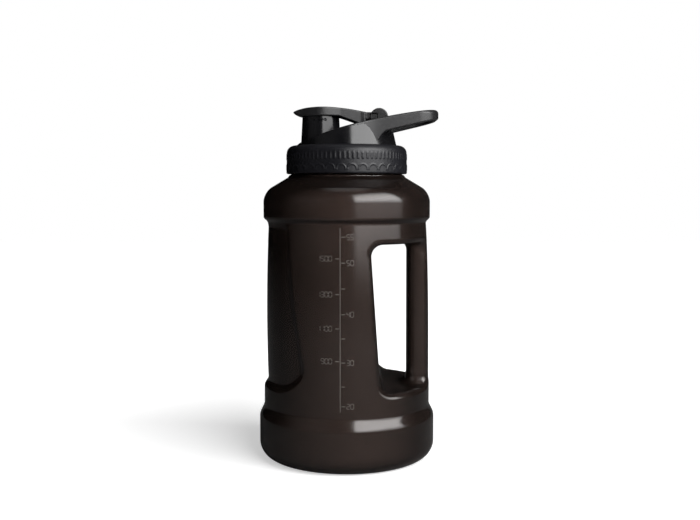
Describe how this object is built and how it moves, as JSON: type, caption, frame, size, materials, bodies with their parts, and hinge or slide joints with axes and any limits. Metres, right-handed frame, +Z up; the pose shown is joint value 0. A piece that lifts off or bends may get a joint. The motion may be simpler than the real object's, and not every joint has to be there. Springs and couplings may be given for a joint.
{
  "type": "water jug",
  "caption": "Large smoke-tinted sports water jug with a moulded side handle, screw lid with carry loop, hinged flip cap over a spout, and printed volume scale.",
  "frame": {"origin": "centre of the base, on the surface that the jug stands on", "axes": "+Z up the jug's axis; +X towards the side handle and the carry loop; -X towards the drinking spout; the jug is symmetric about the XZ plane apart from its printed scale"},
  "size_m": [0.1339, 0.1324, 0.2638],
  "materials": {
    "smoke_shell": "glossy translucent smoke",
    "scale_ink": "thin pale screen print",
    "silicone": "matte soft",
    "collar_plastic": "fine matte with embossed grip",
    "gloss_black": "polished",
    "satin_black": "satin",
    "pin_steel": "ground bar"
  },
  "bodies": {
    "jug": {"jug_body": "smoke_shell", "scale_print": "scale_ink"},
    "seal_carrier": {"neck_gasket": "silicone"},
    "lid": {"lid_collar": "collar_plastic", "lid_dome": "gloss_black", "carry_loop": "satin_black", "hinge_pin": "pin_steel"},
    "cap": {"flip_cap": "satin_black", "spout_seal": "silicone"}
  },
  "joints": [
    {"name": "lid_lift", "type": "slide", "parent": "jug", "child": "seal_carrier", "axis": [0, 0, 1], "range_m": [0, 0.0075]},
    {"name": "lid_turn", "type": "hinge", "parent": "seal_carrier", "child": "lid", "pos_m": [0, 0, 0.2286], "axis": [0, 0, 1], "range_deg": [0, 540]},
    {"name": "cap_flip", "type": "hinge", "parent": "lid", "child": "cap", "pos_m": [0.0241, 0, 0.25623], "axis": [0, 1, 0], "range_deg": [0, 145]}
  ],
  "couplings": [
    {"joint": "lid_lift", "follows": "lid_turn", "m_per_rad": 0.00079577}
  ]
}
